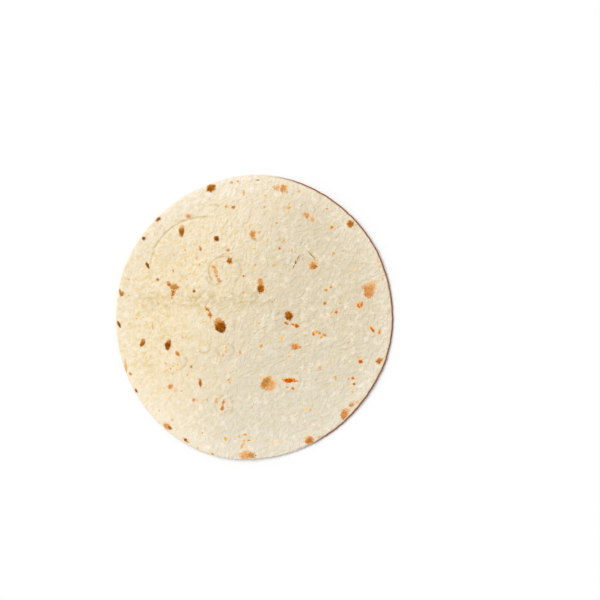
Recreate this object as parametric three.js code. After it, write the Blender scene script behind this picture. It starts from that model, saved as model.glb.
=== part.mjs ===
// A flour tortilla: one thin disc of dough, pressed round and baked on a griddle, lying on a flat surface.
// Its middle lies flat. Its rim is a little out of round, thinner than the middle, and curls up in places.
// Units are millimetres and +Z is up. The origin is on the surface that it lies on, under the middle of its
// outline.

import * as THREE from "three";

// Driving dimensions.
const DIAMETER = 250;
const MIDDLE_THICKNESS = 2.1;
const RIM_THICKNESS = 1.5;
const CRUMB_COLOUR = 0xe9dcc0;

// Places between the middle and the rim, as shares of the radius at the same angle.
const FLAT_SHARE = 0.6; // the underside lies flat as far as this
const THIN_SHARE = 0.8; // the dough thins from here to the rim

// How far the rim is out of round: each wave goes round the rim `count` times, pushes it out by `share` of
// the radius, and is furthest out at `peak` degrees.
const RIM_WAVES = [
  { count: 2, share: 0.017, peak: 69 },
  { count: 3, share: 0.005, peak: 115 },
  { count: 4, share: 0.004, peak: 72 },
  { count: 5, share: 0.002, peak: 16 },
  { count: 7, share: 0.0015, peak: 40 },
  { count: 8, share: 0.0015, peak: 33 },
];

// Where the rim curls up off the surface: `height` millimetres at the middle of the curl, `at` degrees round
// the rim, fading to nothing `reach` degrees to each side.
const RIM_CURLS = [
  { at: 150, height: 4.2, reach: 62 },
  { at: 38, height: 2.4, reach: 48 },
  { at: 262, height: 3.0, reach: 50 },
  { at: 330, height: 1.6, reach: 34 },
];

// How finely the shape is faceted.
const SECTORS = 96;
const FLAT_RINGS = 3;
const CURL_RINGS = 5;
const EDGE_STEPS = 4;
const TOP_RINGS = 11;

const radius = DIAMETER / 2;

// A smooth rise from 0 at `from` to 1 at `to`.
function ease(value, from, to) {
  return THREE.MathUtils.smoothstep(value, from, to);
}

// The shortest way round from one angle to another, in degrees, from 0 to 180.
function degreesApart(a, b) {
  return Math.abs(THREE.MathUtils.euclideanModulo(a - b + 180, 360) - 180);
}

// The rim's distance from the middle at an angle, as a share of the plain radius.
function outlineShare(degrees) {
  return RIM_WAVES.reduce((total, wave) => {
    const turn = THREE.MathUtils.degToRad(wave.count * (degrees - wave.peak));
    return total + wave.share * Math.cos(turn);
  }, 1);
}

// How high the dough is held off the surface, at an angle and a share of the way out to the rim.
function curlHeight(degrees, share) {
  const outward = Math.max(0, (share - FLAT_SHARE) / (1 - FLAT_SHARE)) ** 2;
  return RIM_CURLS.reduce((total, curl) => {
    const beside = 1 - ease(degreesApart(degrees, curl.at), 0, curl.reach);
    return total + curl.height * beside * outward;
  }, 0);
}

// The dough's thickness at a share of the way out to the rim.
function thicknessAt(share) {
  return THREE.MathUtils.lerp(MIDDLE_THICKNESS, RIM_THICKNESS, ease(share, THIN_SHARE, 1));
}

// Half of the section through a flat, round tortilla, from the middle of its underside, out round the rim
// and back to the middle of its top. The rim's edge is half round.
function halfSection() {
  const edgeRadius = RIM_THICKNESS / 2;
  const reach = radius - edgeRadius;
  const points = [];
  for (let i = 0; i < FLAT_RINGS; i++) {
    points.push(new THREE.Vector2((radius * FLAT_SHARE * i) / FLAT_RINGS, 0));
  }
  for (let i = 0; i < CURL_RINGS; i++) {
    points.push(new THREE.Vector2(THREE.MathUtils.lerp(radius * FLAT_SHARE, reach, i / CURL_RINGS), 0));
  }
  for (let i = 0; i <= EDGE_STEPS; i++) {
    const turn = -Math.PI / 2 + (Math.PI * i) / EDGE_STEPS;
    points.push(
      new THREE.Vector2(reach + edgeRadius * Math.cos(turn), edgeRadius + edgeRadius * Math.sin(turn)),
    );
  }
  for (let i = TOP_RINGS - 1; i >= 0; i--) {
    const out = (reach * i) / TOP_RINGS;
    points.push(new THREE.Vector2(out, thicknessAt(out / radius)));
  }
  return points;
}

// Pushes each point out to the real outline and up by the curl of the rim.
function warp(geometry) {
  const position = geometry.getAttribute("position");
  for (let i = 0; i < position.count; i++) {
    const x = position.getX(i);
    const y = position.getY(i);
    const degrees = THREE.MathUtils.radToDeg(Math.atan2(y, x));
    const share = Math.hypot(x, y) / radius;
    const outline = outlineShare(degrees);
    position.setXYZ(i, x * outline, y * outline, position.getZ(i) + curlHeight(degrees, share));
  }
}

// Moves the shape so that the middle of its outline is over the origin.
function centreOutline(geometry) {
  geometry.computeBoundingBox();
  const middle = geometry.boundingBox.getCenter(new THREE.Vector3());
  geometry.translate(-middle.x, -middle.y, 0);
}

function makeTortilla() {
  const geometry = new THREE.LatheGeometry(halfSection(), SECTORS);
  geometry.rotateX(Math.PI / 2);
  warp(geometry);
  centreOutline(geometry);
  geometry.computeVertexNormals();
  const crumb = new THREE.MeshStandardMaterial({ color: CRUMB_COLOUR, roughness: 0.9, metalness: 0 });
  const mesh = new THREE.Mesh(geometry, crumb);
  mesh.name = "tortilla";
  return mesh;
}

const part = new THREE.Group();
part.add(makeTortilla());

export default part;
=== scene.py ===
"""A flour tortilla: its dough, its toasted marks and the plain stage that it lies on.

Lengths are metres and +Z is up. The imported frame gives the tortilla's outline, height and thickness, and
the finished dough is modelled on it.
"""

import math
import random
from collections import namedtuple

import bpy
import numpy as np
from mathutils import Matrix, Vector, bvhtree, geometry, noise


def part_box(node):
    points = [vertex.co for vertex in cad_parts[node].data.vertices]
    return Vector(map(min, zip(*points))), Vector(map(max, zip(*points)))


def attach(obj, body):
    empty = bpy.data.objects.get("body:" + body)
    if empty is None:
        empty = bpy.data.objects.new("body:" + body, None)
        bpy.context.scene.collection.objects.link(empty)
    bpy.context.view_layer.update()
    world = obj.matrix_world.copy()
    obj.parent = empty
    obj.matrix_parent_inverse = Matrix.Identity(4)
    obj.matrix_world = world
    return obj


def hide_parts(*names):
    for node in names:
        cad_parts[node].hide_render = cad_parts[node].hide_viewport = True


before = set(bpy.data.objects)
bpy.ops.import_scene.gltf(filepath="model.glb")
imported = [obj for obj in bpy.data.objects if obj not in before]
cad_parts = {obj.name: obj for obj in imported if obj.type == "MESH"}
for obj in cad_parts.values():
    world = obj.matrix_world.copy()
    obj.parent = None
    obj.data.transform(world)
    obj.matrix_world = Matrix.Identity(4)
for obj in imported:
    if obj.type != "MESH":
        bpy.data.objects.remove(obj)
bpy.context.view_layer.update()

bl_info = {
    "name": "Flour tortilla",
    "version": (1, 0, 0),
    "blender": (4, 5, 0),
    "location": "View3D > Sidebar > Tortilla",
    "description": "Models one griddle-baked flour tortilla and the plain stage it lies on",
    "category": "Add Mesh",
}

NODE = "tortilla"
PIECE = "tortilla_dough"

MM = 0.001
FLAT = (1, 1, 0)  # what lays a point flat on the floor
LOWEST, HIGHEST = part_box(NODE)
RADIUS = (HIGHEST.x - LOWEST.x + HIGHEST.y - LOWEST.y) / 4

# The cage that the dough is shaped from: a square grid inside a ring, more rings out to the rim, two faces
# over the edge of the rim.
CAGE_SIDES = 76
CORE_SHARE = 0.64  # the grid's outer ring, as a share of the radius
RING_SHARES = (0.75, 0.85, 0.935, 0.986)  # the rings outside it
CAGE_RELAXING = 24  # rounds of smoothing that even out the grid's corners
CAGE_THICKNESS = 2 * MM
RIM_SPARE = 1.007  # how far past the rim the edge loop round it lies, which the rounding takes back
FINE_LEVELS = 3

# The discs of the map that the two faces lie on: middle across, middle up, radius.
UPPER_DISC = (0.345, 0.345, 0.335)
LOWER_DISC = (0.8, 0.8, 0.19)

# Faces whose normals point down more than this belong to the underside.
UNDERSIDE_NORMAL = -0.25
# How far outside a mark's edge the faces still carry it, and the value that stands for no mark at all.
MARK_REACH = 2.5 * MM
NO_MARK = 9.0

# A mark's middle, width and length (mm), its turn anticlockwise (degrees), how dark it baked (0 pale to 1
# nearly black), and how far it breaks up into bits (0 to 1). A mark is darkest towards its lower end, so
# half a turn puts its dark part at the top.
Mark = namedtuple("Mark", "x y width length turn tone break_up")
# A crease left where a bubble in the dough rose and sank again: an arc's middle, radius across and along
# (mm), first and last angle (degrees), how deep (0 to 1) and how far the dough inside stands up (mm).
Crease = namedtuple("Crease", "x y across along first last depth lift")
# A patch of crumpled dough: its middle, half width and half length (mm), turn and how crumpled (0 to 1).
Crumple = namedtuple("Crumple", "x y half_width half_length turn strength")


def rows(kind, table):
    """Gives each number of each row its name."""
    return [kind(*row) for row in table]


# Scorched spots on the upper face.
SCORCHES = rows(Mark, (
    (-39, 115, 9.5, 7.5, 20, 0.72, 0.3), (-65, 76, 5.4, 9, 0, 0.72, 0.3),
    (-98.5, 70, 3.5, 3.5, 0, 1.0, 0.2), (-34, 70, 5.2, 5.8, 20, 0.9, 0.25),
    (-85.5, 87, 3, 5.5, -45, 0.8, 0.3), (85, 83, 6.5, 7.5, 50, 0.6, 0.3),
    (-22.5, 50, 5, 6.5, 5, 0.68, 0.3), (-95.5, 46, 2.8, 6.5, 25, 0.85, 0.3),
    (-72.5, 26.8, 5, 5, 10, 0.44, 0.6), (-86.5, 33.5, 2.8, 2.8, 0, 0.65, 0.2),
    (-54, 23, 3, 3, 0, 0.75, 0.2), (5.5, 25.6, 6.8, 8.8, 0, 0.78, 0.3),
    (-120, 23, 2, 4, 10, 0.6, 0.4), (-118.2, 20.6, 4.8, 4.6, 0, 0.5, 0.6),
    (-30.6, -8.5, 10, 13, 10, 0.88, 0.2), (30.5, 0.8, 7.6, 9.2, 0, 0.84, 0.3),
    (-121, -6.5, 3, 6.5, 25, 0.95, 0.3), (-100, -23, 4.5, 8.5, -25, 0.64, 0.25),
    (-77.3, -24.5, 6, 10.2, -14, 0.86, 0.2), (-48.5, -59, 3, 7, 10, 0.72, 0.3),
    (-105.6, -65.6, 2.2, 4.4, 32, 0.8, 0.4), (-61.8, -109.3, 4.4, 3.4, -35, 0.72, 0.6),
    (53, 45, 6, 4.5, 10, 0.55, 0.6), (10, -57.6, 6.6, 13.5, -32, 0.42, 0.35),
    (-3, -122.5, 8, 4.5, 0, 0.38, 0.35), (-76, -98.5, 3, 5, 50, 0.75, 0.5),
    (38.8, 53, 1.1, 5, -30, 0.7, 0.8), (36.6, 49, 1.4, 5, -12, 0.85, 0.8),
    (34.6, 44.8, 1.1, 4, -25, 0.65, 0.8), (50.6, 55.2, 0.8, 12, 40, 0.45, 0.7),
))

# Toasted patches on the upper face.
TOASTS = rows(Mark, (
    (25.5, 115, 7.5, 8, 0, 0.62, 0.4), (19.6, 115.3, 8.5, 5.6, 0, 0.42, 0.5),
    (28.6, 111.5, 2.6, 3, 0, 0.5, 0.3), (-59, 90, 5, 4.5, 0, 0.62, 0.3),
    (-64.5, 80, 5, 4, 180, 0.4, 0.3), (-65.5, 72, 3.5, 3, 0, 0.3, 0.4),
    (-1.8, 73.9, 5.8, 8, 0, 0.68, 0.45), (3.6, 75.6, 4, 2.6, 20, 0.35, 0.6),
    (-0.8, 70.2, 5.5, 2.6, -10, 0.62, 0.5), (46, 91, 7.5, 5, -25, 0.56, 0.5),
    (52, 87.5, 4.4, 5.5, 0, 0.45, 0.5), (52, 46.5, 8.5, 8.5, 10, 0.6, 0.2),
    (-36.5, 44.6, 5.5, 3.4, -30, 0.58, 0.4), (-34.6, 40.5, 4, 7, 15, 0.5, 0.4),
    (-34, 36.7, 2.8, 2.8, 0, 0.74, 0.3), (-32, 33, 3.4, 4, 20, 0.7, 0.3),
    (5.2, 30, 6.8, 9, 180, 0.62, 0.35), (5.5, 26, 8, 11, 0, 0.25, 0.3),
    (102, 25.4, 13.4, 15.5, -22, 0.62, 0.4), (100.5, 23.5, 7, 9, 165, 0.76, 0.5),
    (-32.5, -4.5, 9.5, 8, 210, 0.5, 0.35), (-42.5, 7, 3.4, 6.5, 40, 0.85, 0.6),
    (-39.8, 1.8, 3.6, 6.5, 12, 0.9, 0.6), (-69, -32.5, 3.6, 6.5, 38, 0.75, 0.2),
    (36.5, -26, 9, 6.4, 0, 0.7, 0.4), (36, -24.5, 5, 3, 0, 0.85, 0.35),
    (111, -39, 6, 7, -20, 0.95, 0.4), (12.5, -59, 14.5, 15.5, -20, 0.5, 0.25),
    (-75, -62, 4.5, 5.5, -25, 0.66, 0.3), (-71, -65, 6, 5, 0, 0.18, 0.5),
    (80.3, -85.5, 7, 12.5, -32, 0.7, 0.3), (86.8, -78.2, 4, 6, -60, 0.66, 0.4),
    (91.5, -75.8, 2.6, 6, -65, 0.36, 0.5), (-78.5, -97, 5.5, 8.5, 50, 0.62, 0.35),
    (-73.5, -91.5, 3.5, 3, 0, 0.3, 0.4), (-83.5, -98.5, 2.5, 2.5, 0, 0.55, 0.3),
    (-7, -122.5, 14.5, 9, 0, 0.5, 0.25), (-4, -123.3, 10, 5.4, 0, 0.72, 0.4),
    (48.5, -109.5, 8.5, 8.5, 20, 0.76, 0.35), (-115, -43.5, 3, 12, 3, 0.45, 0.4),
    (-110.5, -50.5, 3.5, 3, -40, 0.7, 0.3), (-112.5, -56.5, 2, 3, 20, 0.55, 0.3),
    (62.5, 12.5, 3.5, 4, 20, 0.86, 0.3), (-13, -31.5, 2.6, 4.2, 28, 0.55, 0.2),
    (-23.8, 59.8, 3.8, 2.9, 10, 0.82, 0.3), (22.3, 61.2, 2.7, 2.7, 0, 0.88, 0.2),
    (-48.5, 61.2, 2.8, 5.5, 5, 0.8, 0.3), (-49.2, 46.6, 2.2, 3.6, -10, 0.5, 0.4),
    (-51.7, 52.3, 2.6, 2.2, 30, 0.4, 0.3), (-19, 98, 4, 3.4, 0, 0.82, 0.3),
    (-25.5, 98.5, 3, 3.8, -20, 0.5, 0.4), (2.5, 122, 4.5, 1.6, 0, 0.75, 0.3),
    (-20.5, 120, 3, 2.5, 0, 0.55, 0.4), (-15, 121, 2, 2.2, 0, 0.7, 0.3),
    (-9.8, 111, 2.4, 6, 0, 0.46, 0.4), (39.5, 112, 2.6, 2.6, 0, 0.5, 0.3),
    (94.5, -39.5, 4.4, 4.4, 0, 0.8, 0.3), (92, -35.5, 1.8, 3.6, -25, 0.45, 0.3),
    (58, -45, 5.5, 4, 30, 0.4, 0.7), (72, -54, 2, 5.5, 15, 0.5, 0.4),
    (-54.3, -74, 3, 3.2, 0, 0.8, 0.3), (-10.6, -114, 3.6, 8, -32, 0.46, 0.4),
    (-34, -74.5, 3.6, 6, 0, 0.44, 0.5), (-27.6, -75.5, 3, 7, -18, 0.74, 0.4),
    (-28.8, -81, 3.6, 6, -5, 0.72, 0.5), (-24.2, -79.5, 2.2, 4, 0, 0.32, 0.5),
    (62, -15.8, 5, 3.2, -15, 0.62, 0.4), (-29.5, -86.5, 5, 2, 0, 0.2, 0.6),
    (-56.4, -44, 2.3, 3.2, -15, 0.85, 0.2), (-48.5, -57, 3.6, 5.5, 190, 0.6, 0.3),
    (-28.5, -33.5, 2.4, 2.4, 0, 0.4, 0.4), (-112, 33.5, 2.6, 2.6, 0, 0.35, 0.4),
    (-71.5, 26.5, 9, 6.5, 5, 0.9, 0.5), (-76.2, 29, 3.6, 7.2, 38, 0.88, 0.4),
    (-72.5, 21.8, 4.2, 9, -14, 0.88, 0.5), (-72.6, 41, 2, 3.2, 0, 0.7, 0.3),
    (57.5, -106.8, 3.2, 1.8, 30, 0.55, 0.3), (17.5, 15.5, 1.6, 3, -10, 0.5, 0.3),
    (15.5, 13.5, 1.5, 1.5, 0, 0.8, 0.3), (-65.3, -66, 2.6, 2.2, 0, 0.35, 0.4),
    (-51.3, -74, 2.4, 2.4, 0, 0.35, 0.4), (-64.3, -18.3, 1.8, 1.8, 0, 0.6, 0.3),
    (-10, 22, 2.2, 3.2, -10, 0.6, 0.3), (-21, 21, 2, 2, 0, 0.4, 0.3),
    (0.5, 46.5, 1.6, 6, -22, 0.4, 0.6), (87, 42, 2.6, 4, 20, 0.2, 0.4),
    (76, 29, 2.2, 2.2, 0, 0.45, 0.3), (114, 34, 1.6, 3.2, 0, 0.4, 0.3),
    (83.5, -22.5, 1.6, 4.4, 5, 0.35, 0.4), (68.5, 0, 4.5, 1.8, 0, 0.3, 0.5),
    (-112, 19, 2.8, 2, 0, 0.35, 0.4), (-91, -8, 1.8, 6, 5, 0.42, 0.5),
    (-99.5, 10.5, 2.2, 2.2, 0, 0.38, 0.3), (-79.5, -41.5, 1.8, 1.8, 0, 0.6, 0.2),
    (-73.5, -50.5, 2.2, 2.2, 0, 0.4, 0.3), (19, -111.5, 14, 2.2, 3, 0.14, 0.7),
    (-59.8, -111, 4, 2, -35, 0.55, 0.5),
))

# Bright rusty flecks on the upper face.
RUSTS = rows(Mark, (
    (30, 97.5, 5, 3, 20, 0.42, 0.6), (68.8, 80, 3.2, 4.6, -30, 0.62, 0.4),
    (64.5, 96.5, 2.4, 2.2, 0, 0.4, 0.3), (19.5, 84, 2.8, 2, -20, 0.45, 0.3),
    (9.5, 108.5, 2.3, 2.3, 0, 0.35, 0.3), (-0.5, 61, 2.8, 1.8, 0, 0.35, 0.3),
    (63.5, 24, 2.6, 3, 0, 0.66, 0.3), (67.8, 26.6, 3, 2.2, 0, 0.6, 0.3),
    (92.8, 10, 2.8, 5.5, 33, 0.72, 0.4), (95.4, 11, 2.6, 6.5, -17, 0.74, 0.4),
    (94, 12.6, 3.4, 1.8, 10, 0.5, 0.3), (93, 6.5, 4, 2, 35, 0.25, 0.4),
    (72.8, 4.5, 2.8, 3.6, -40, 0.72, 0.4), (28.4, -5.7, 4.8, 2.6, -25, 0.8, 0.3),
    (34, -6.5, 3.2, 2.2, -25, 0.75, 0.4), (37.4, -8.1, 5, 3.8, -15, 0.95, 0.5),
    (52.4, -15, 3.4, 3.4, 10, 0.66, 0.4), (55.2, -13.4, 4.4, 3, 15, 0.5, 0.5),
    (57.4, -14.2, 3, 2.6, 15, 0.6, 0.5), (59.5, -18, 3.2, 2.8, 0, 0.5, 0.6),
    (104.6, -11, 2.6, 7.2, 38, 0.85, 0.3), (111, -13.4, 2.6, 5.4, -10, 0.6, 0.4),
    (6, -25.5, 2.2, 5, -40, 0.6, 0.3), (94.5, -39.5, 3.3, 3.4, 0, 1.0, 0.3),
    (31.5, -56.5, 12.4, 4.6, 0, 0.88, 0.35), (29, -62.5, 3, 2, 0, 0.55, 0.5),
    (34.2, -63.5, 4, 3, -20, 0.78, 0.5), (87.5, -54.5, 2.9, 2.9, 0, 0.92, 0.2),
    (88.5, -59.5, 2.8, 2.8, 0, 0.9, 0.2), (83.5, -54.5, 3, 1.8, 0, 0.35, 0.7),
    (87, -66.5, 2.6, 2, 0, 0.4, 0.4), (49.5, -82.5, 2.2, 2.2, 0, 0.5, 0.3),
    (-8.5, -104.5, 3, 2.6, 0, 0.55, 0.4), (-13.5, -106, 2, 2, 0, 0.5, 0.3),
    (-9.5, -110, 2.5, 2.5, 0, 0.45, 0.4), (-25.5, -27, 1.8, 1.8, 0, 0.5, 0.3),
    (-25.5, -31, 1.8, 1.8, 0, 0.5, 0.3), (-75, -46, 1.6, 1.6, 0, 0.6, 0.2),
    (-62, 59.7, 1.6, 2.4, 0, 0.5, 0.3), (-60.5, 33.7, 1.6, 1.6, 0, 0.4, 0.3),
    (-105, -1.2, 1.5, 1.5, 0, 0.5, 0.3), (-10, 36.7, 2.6, 2.4, 0, 0.66, 0.3),
    (4, -5.6, 1.6, 1.6, 0, 0.7, 0.3), (68.6, 3.7, 2, 2, 0, 0.4, 0.3),
    (70.6, 56.8, 2.4, 2.4, 0, 0.6, 0.3), (76.5, 12.4, 2.2, 1.8, 0, 0.45, 0.3),
    (111, 45.3, 1.8, 2.2, 0, 0.45, 0.3), (109.7, 49.8, 2.2, 1.8, 0, 0.45, 0.3),
    (120, 5.2, 1.5, 4.2, 0, 0.35, 0.3), (-72.5, -44, 1.5, 1.5, 0, 0.5, 0.2),
    (-68.5, -42.5, 1.5, 1.5, 0, 0.45, 0.2), (-23.5, -55.9, 2.6, 2.4, 20, 0.52, 0.3),
    (-46.6, -103.2, 2, 2, 0, 0.5, 0.3), (-25.8, -108.3, 4, 3.4, -20, 0.36, 0.4),
    (-50.6, -116.6, 2, 1.8, 0, 0.5, 0.3), (-37.5, -121.8, 4.2, 2, -25, 0.6, 0.3),
    (-4.8, -109.8, 4, 1.5, 5, 0.5, 0.3), (-42.4, -73.7, 2, 1.8, 0, 0.5, 0.3),
    (-60, -51.7, 1.9, 1.9, 0, 0.5, 0.3), (-85, -83.5, 1.8, 1.8, 0, 0.4, 0.3),
    (33.1, 59.3, 1.8, 3.4, 0, 0.5, 0.3), (16.8, 46.3, 2.6, 1.8, 0, 0.5, 0.3),
    (8.6, -13.5, 2, 2, 0, 0.35, 0.4), (45.4, -11.9, 1.6, 1.6, 0, 0.35, 0.4),
    (23.8, -19.2, 2.4, 5, -25, 0.3, 0.6), (-69.5, -47, 1.6, 1.6, 0, 0.45, 0.2),
    (8.6, 98, 2.2, 2.2, 0, 0.55, 0.3), (45, -81.8, 4.4, 2, -15, 0.24, 0.5),
    (30.6, -34.7, 3, 2.2, 0, 0.36, 0.5),
))

CREASES = rows(Crease, (
    (-44, 42, 49, 47.4, 84, 180, 1.0, 0.35), (-26.5, 41, 14.4, 12.8, 75, 225, 1.0, 0.35),
    (-26.5, 41, 14.4, 12.8, 310, 410, 0.9, 0.0), (-26.5, 41, 14.2, 12.6, 315, 340, 1.0, 0.0),
    (-35.5, 36, 7, 7.5, 175, 335, 0.7, 0.1), (-25.5, -30, 7.8, 5.6, 0, 360, 0.66, 0.25),
    (-44.5, -27.5, 5.2, 4.8, 190, 420, 0.56, 0.2), (22.5, -2.5, 4.2, 5.4, 60, 330, 0.45, 0.1),
    (-26.5, -79, 8.2, 8.8, 90, 215, 0.9, 0.3), (-26.5, -79, 8.2, 8.8, -70, 60, 0.6, 0.3),
    (-71, -37.5, 10.5, 10.5, 290, 370, 0.8, 0.2), (31.5, -58, 9.8, 9.8, 0, 360, 0.28, 0.2),
    (45, 49, 9, 9, 0, 75, 1.0, 0.1), (25, 71.5, 2.7, 4.5, 90, 330, 0.7, 0.1),
    (-85, 84, 5, 5, 200, 320, 0.35, 0.0), (-93, -50, 67, 67, 78, 102, 0.3, 0.0),
    (-60, 28, 18.5, 18.5, 220, 295, 0.4, 0.0), (-69, 56.5, 50, 50, -72, -46, 0.45, 0.0),
    (-12, 22, 15, 15, 195, 235, 0.35, 0.0), (-6, -20, 33.5, 33.5, 70, 115, 0.4, 0.0),
    (2, 74, 6.5, 6, 225, 345, 0.5, 0.0), (-66, 0, 36.5, 36.5, 78, 104, 0.25, 0.0),
    (-36, 92, 8, 8, 50, 110, 0.7, 0.0), (-9, 100, 5, 8, 150, 215, 0.6, 0.0),
))
CREASE_TAPER = 12  # degrees over which a crease fades out, either side of its end
CREASE_STRAY = 0.5 * MM  # how far a crease strays from its arc
CREASE_STRAY_SIZE = 6 * MM
# A crease is worn down in stretches: how deep it stays, how long a stretch is and how soft its ends are.
CREASE_WORN = 0.5
CREASE_WEAR_SIZE = 9 * MM
CREASE_WEAR_EDGE = 0.25

CRUMPLES = rows(Crumple, (
    (-84, 13, 30, 13, 4, 0.82), (-50, 15, 30, 15, -8, 0.95), (-10, 14, 36, 14, 5, 0.74),
    (-21, -8, 8, 13, 0, 0.35), (-58, 95, 40, 15, 35, 0.18), (-95, -40, 12, 30, 15, 0.12),
))

# How softly each kind of mark fades out at its edge (mm), and its colours from pale to hard baked.
MARK_LAYERS = {
    "toast": (0.9, ((242, 222, 186), (236, 198, 148), (224, 164, 106), (202, 130, 64), (168, 96, 34))),
    "scorch": (0.8, (
        (236, 202, 152), (220, 170, 108), (194, 136, 68), (174, 104, 20), (152, 84, 4), (110, 60, 2),
    )),
    "rust": (0.5, ((246, 224, 172), (242, 200, 112), (232, 150, 46), (216, 108, 18), (194, 76, 4))),
}

# The small flecks: how far out they fall, as a share of the radius, their width (mm), their length in
# widths, how dark at least and how much darker at most, and how broken up.
FLECK_REACH = 0.985
FLECK_WIDTH = (1.0, 1.9)
FLECK_LENGTH = (0.8, 2.2)
FLECK_TONE = (0.06, 0.34)
FLECK_SKEW = 2  # above 1 where most are faint
FLECK_BREAK_UP = (0.3, 0.7)

# The underside's marks, likewise. Every third has a scorch, and all have a toasted patch beside or round it.
LOWER_MARKS = 64
LOWER_REACH = 0.97
LOWER_WIDTH = (2.5, 11)  # the least width and what is added at most (mm)
LOWER_SKEW = 2.2  # above 1 where most are narrow
LOWER_LENGTH = (0.9, 1.7)
LOWER_SCORCH_EVERY = 3
LOWER_SCORCH_TONE = (0.65, 1.0)
LOWER_SCORCH_BREAK_UP = (0.2, 0.5)
LOWER_TOAST_STRAY = (-2, 2)  # how far a patch strays from its scorch (mm)
LOWER_TOAST_SIZE = (1.3, 1.25)  # a patch's width and length, as shares of its scorch's
LOWER_TOAST_TONE = (0.15, 0.5)
LOWER_TOAST_BREAK_UP = (0.3, 0.7)


def colour(red, green, blue):
    """A display colour of 0 to 255 as the linear colour that Blender keeps."""
    parts = [part / 255 for part in (red, green, blue)]
    return tuple(part / 12.92 if part <= 0.04045 else ((part + 0.055) / 1.055) ** 2.4 for part in parts)


def length(name, description, default):
    return bpy.props.FloatProperty(
        name=name, description=description, default=default, min=0, precision=5, unit="LENGTH"
    )


def amount(name, description, default, least=0):
    return bpy.props.FloatProperty(name=name, description=description, default=default, min=least)


def turn(name, description, degrees):
    return bpy.props.FloatProperty(
        name=name, description=description, default=math.radians(degrees), min=0, subtype="ANGLE"
    )


def tint(name, description, *display):
    return bpy.props.FloatVectorProperty(
        name=name, description=description, default=colour(*display), subtype="COLOR", min=0, max=1
    )


class TortillaDoughSettings(bpy.types.PropertyGroup):
    """Sizes and colours of the dough."""

    pillow_size: length("Pillow size", "Spacing of the small pillows over the dough", 4 * MM)
    pillow_height: length("Pillow height", "How high the small pillows stand", 0.32 * MM)
    swell_size: length("Swell size", "Spacing of the soft swells under the pillows", 11 * MM)
    swell_height: length("Swell height", "How high the soft swells stand", 0.36 * MM)
    wave_size: length("Wave size", "Spacing of the broad waves of the whole disc", 55 * MM)
    wave_height: length("Wave height", "How high the broad waves stand", 0.6 * MM)
    crumple_size: length("Crumple size", "Spacing of the wrinkles in crumpled dough", 3.6 * MM)
    crumple_height: length("Crumple height", "How high the wrinkles in crumpled dough stand", 0.5 * MM)
    crease_depth: length("Crease depth", "How deep the sharpest crease is cut", 0.24 * MM)
    crease_width: length("Crease width", "How wide a crease is", 1.1 * MM)
    ridge_height: length("Ridge height", "How high the soft ridges stand", 0.2 * MM)
    fine_ridge_height: length("Fine ridge height", "How high the finest ridges stand", 0.3 * MM)
    grain_height: length("Grain height", "How high the grain of the dough stands", 0.48 * MM)
    blister_height: length("Blister height", "How high the dough stands at the darkest spot", 0.35 * MM)
    rim_wander: length("Rim wander", "How far the rim strays in and out of its smooth line", 0.32 * MM)
    rim_wander_size: length("Rim wander size", "How long one stray of the rim is", 7 * MM)
    patch_size: length("Patch size", "Spacing of the moister patches", 16 * MM)
    vein_size: length("Vein size", "Spacing of the yellow veins", 3.4 * MM)
    olive_size: length("Olive size", "Spacing of the olive spots in crumpled dough", 4.5 * MM)
    dust_size: length("Dust size", "Spacing of the dusty patches of flour", 5 * MM)
    fleck_count: bpy.props.IntProperty(
        name="Small flecks", description="How many small flecks each face has", default=90, min=0
    )
    seed: bpy.props.IntProperty(name="Seed", description="Picks where small flecks fall", default=7)
    dough: tint("Dough", "Pale baked dough", 219, 207, 182)
    pale: tint("Pale dough", "Dough that stayed paler, down the near side", 221, 213, 194)
    # Painted light: the golden dough is lighter as well as warmer, standing for the light that falls on that
    # side.
    golden: tint("Golden dough", "Dough that took more heat, down one side", 243, 227, 197)
    moist: tint("Moist dough", "Thin, moister places in the dough", 216, 203, 172)
    yellow: tint("Yellow dough", "Veins of yellower dough", 235, 208, 148)
    olive: tint("Olive dough", "Thin dough in the folds of a crumple", 200, 184, 126)
    flour: tint("Flour", "Dry flour left on the dough", 246, 236, 218)
    # Painted shade: this colour darkens the dough in the creases and between the ridges.
    crease: tint("Crease", "Dough in the bottom of a crease", 188, 158, 92)
    # Painted shadow: the toasted rim colour also stands for the contact shadow along the rim's brown
    # stretch.
    toasted_rim_and_painted_shadow: tint("Toasted rim and painted shadow", "The baked edge of the rim", 144, 74, 2)


class TortillaStageSettings(bpy.types.PropertyGroup):
    """The floor, lights and camera."""

    floor_size: length("Floor size", "Width of the square floor", 12)
    floor_tint: tint("Floor", "Plain pale floor", 247, 247, 247)
    key_strength: amount("Key light", "Strength of the soft key light", 2.25)
    key_softness: turn("Key softness", "How wide the key light looks", 45)
    key_height: turn("Key height", "How high the key light stands above the floor", 58)
    key_bearing: turn("Key bearing", "Where the key light stands, anticlockwise from +X", 145)
    fill_strength: amount("Fill light", "Strength of the even light from all round", 0.47)
    lens: amount("Lens", "Focal length of the camera in millimetres", 85, least=1)
    view_width: length("View width", "How much of the floor the picture shows across", 0.5346)
    view_right: length("View right", "How far right of the tortilla's middle the picture centres", 0.0404)
    view_up: length("View up", "How far above the tortilla's middle the picture centres", 0.0151)


# ---- shaping the dough ----


def choose_nothing(kind):
    """Switches edit mode to points or edges, with none of them selected."""
    bpy.ops.mesh.select_mode(type=kind)
    bpy.ops.mesh.select_all(action="DESELECT")


def select_rim_edges():
    """Selects the edges of the open rim, in edit mode."""
    choose_nothing("EDGE")
    bpy.ops.mesh.select_non_manifold(
        extend=False, use_wire=False, use_boundary=True, use_multi_face=False,
        use_non_contiguous=False, use_verts=False,
    )


def spread(factor):
    """Moves what is selected outwards from the middle of the disc."""
    bpy.ops.transform.resize(value=(factor, factor, 1), center_override=(0, 0, 0))


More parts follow.
